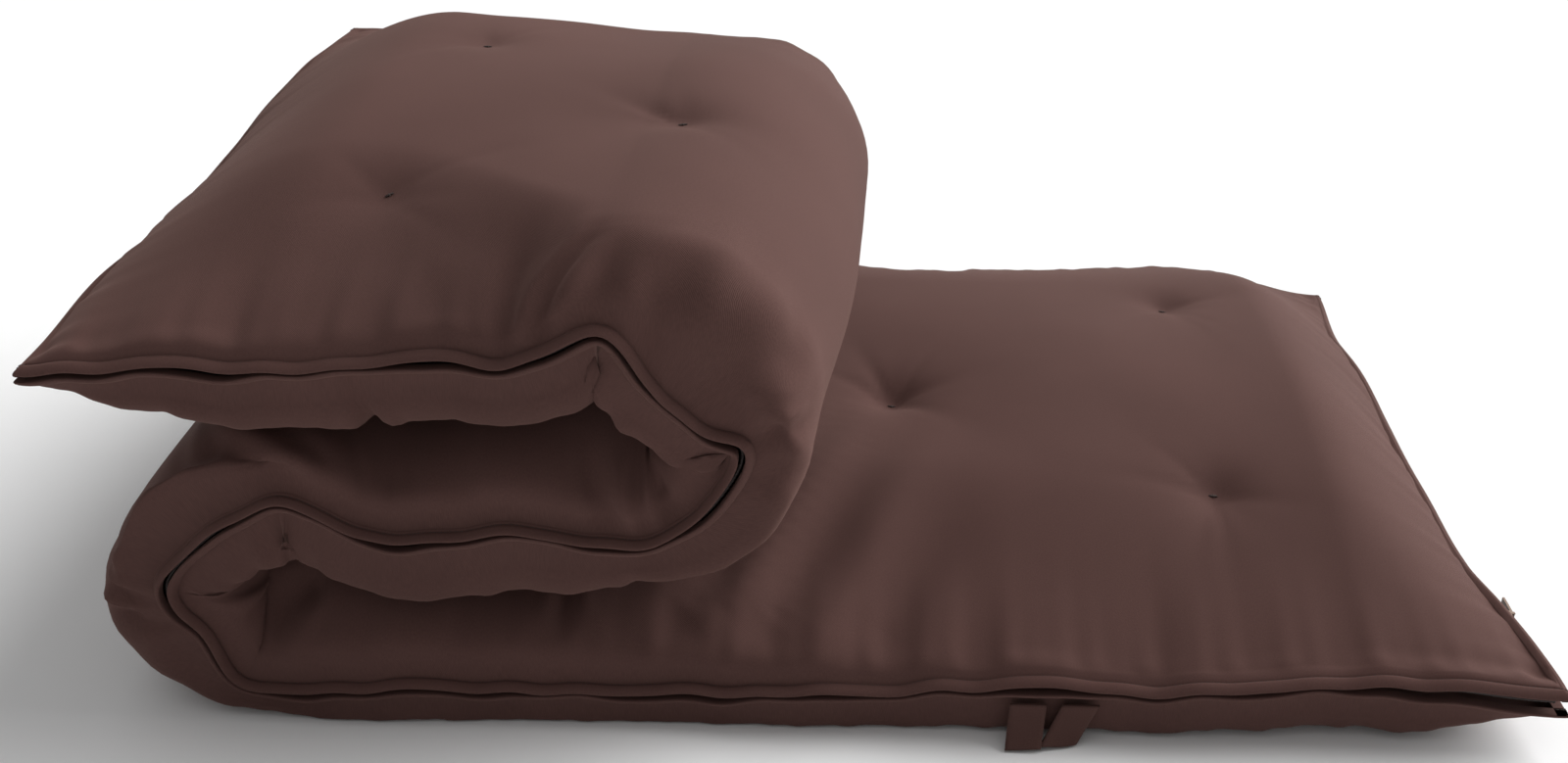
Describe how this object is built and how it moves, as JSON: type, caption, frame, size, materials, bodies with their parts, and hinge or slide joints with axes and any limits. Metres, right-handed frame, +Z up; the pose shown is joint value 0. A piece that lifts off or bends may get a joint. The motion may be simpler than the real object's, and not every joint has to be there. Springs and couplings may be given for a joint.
{
  "type": "futon mattress",
  "caption": "Tufted cloth floor futon folded into an S, with a concealed zip along its long seam and short cloth tie straps.",
  "frame": {"origin": "on the floor, at the middle of the folded stack's box", "axes": "+X along the mattress towards the bottom panel's free end, -Y towards the zip seam, +Z up"},
  "size_m": [1.018, 0.686, 0.3906],
  "materials": {
    "casing_cloth": "brushed cotton twill",
    "batting": "cotton wadding",
    "foam": "open-cell foam",
    "tuft_twine": "waxed twine",
    "zip_tape": "woven tape",
    "zip_coil": "moulded coil",
    "zip_metal": "dark bronze",
    "strap_cloth": "folded and stitched cotton twill"
  },
  "bodies": {
    "bottom_panel": {"batting_back_bottom_panel": "batting", "batting_face_bottom_panel": "batting", "casing_back_bottom_panel": "casing_cloth", "casing_face_bottom_panel": "casing_cloth", "foam_core_bottom_panel": "foam", "tie_strap_left": "strap_cloth", "tie_strap_right": "strap_cloth", "tuft_knots_bottom_panel": "tuft_twine", "tuft_twine_bottom_panel": "tuft_twine", "zip_coil_bottom_panel": "zip_coil", "zip_end_stop": "zip_metal", "zip_tape_back_bottom_panel": "zip_tape", "zip_tape_face_bottom_panel": "zip_tape"},
    "fold_left": {"batting_back_fold_left": "batting", "batting_face_fold_left": "batting", "casing_back_fold_left": "casing_cloth", "casing_face_fold_left": "casing_cloth", "foam_core_fold_left": "foam", "zip_coil_fold_left": "zip_coil", "zip_tape_back_fold_left": "zip_tape", "zip_tape_face_fold_left": "zip_tape"},
    "middle_panel": {"batting_back_middle_panel": "batting", "batting_face_middle_panel": "batting", "casing_back_middle_panel": "casing_cloth", "casing_face_middle_panel": "casing_cloth", "foam_core_middle_panel": "foam", "tuft_knots_middle_panel": "tuft_twine", "tuft_twine_middle_panel": "tuft_twine", "zip_coil_middle_panel": "zip_coil", "zip_tape_back_middle_panel": "zip_tape", "zip_tape_face_middle_panel": "zip_tape"},
    "fold_right": {"batting_back_fold_right": "batting", "batting_face_fold_right": "batting", "casing_back_fold_right": "casing_cloth", "casing_face_fold_right": "casing_cloth", "foam_core_fold_right": "foam", "zip_coil_fold_right": "zip_coil", "zip_tape_back_fold_right": "zip_tape", "zip_tape_face_fold_right": "zip_tape"},
    "top_panel": {"batting_back_top_panel": "batting", "batting_face_top_panel": "batting", "casing_back_top_panel": "casing_cloth", "casing_face_top_panel": "casing_cloth", "foam_core_top_panel": "foam", "tuft_knots_top_panel": "tuft_twine", "tuft_twine_top_panel": "tuft_twine", "zip_coil_top_panel": "zip_coil", "zip_tape_back_top_panel": "zip_tape", "zip_tape_face_top_panel": "zip_tape"},
    "zip_slider": {"zip_slider": "zip_metal"},
    "zip_pull": {"zip_pull": "zip_metal"}
  },
  "joints": [
    {"name": "left_fold_lower", "type": "hinge", "parent": "bottom_panel", "child": "fold_left", "pos_m": [-0.444, 0, 0.065], "axis": [0, -1, 0], "range_deg": [0, 90]},
    {"name": "left_fold_upper", "type": "hinge", "parent": "fold_left", "child": "middle_panel", "pos_m": [-0.444, 0, 0.1953], "axis": [0, -1, 0], "range_deg": [0, 90]},
    {"name": "right_fold_lower", "type": "hinge", "parent": "middle_panel", "child": "fold_right", "pos_m": [-0.0587, 0, 0.1953], "axis": [0, 1, 0], "range_deg": [0, 90]},
    {"name": "right_fold_upper", "type": "hinge", "parent": "fold_right", "child": "top_panel", "pos_m": [-0.0587, 0, 0.3256], "axis": [0, 1, 0], "range_deg": [0, 90]},
    {"name": "zip_slide", "type": "slide", "parent": "bottom_panel", "child": "zip_slider", "axis": [0, -1, 0], "range_m": [0, 0.08]},
    {"name": "zip_pull_swing", "type": "hinge", "parent": "zip_slider", "child": "zip_pull", "pos_m": [0.5066, -0.2425, 0.04], "axis": [0, 0, -1], "range_deg": [0, 170]}
  ],
  "couplings": [
    {"joint": "left_fold_upper", "follows": "left_fold_lower", "ratio": 1},
    {"joint": "right_fold_upper", "follows": "right_fold_lower", "ratio": 1}
  ]
}
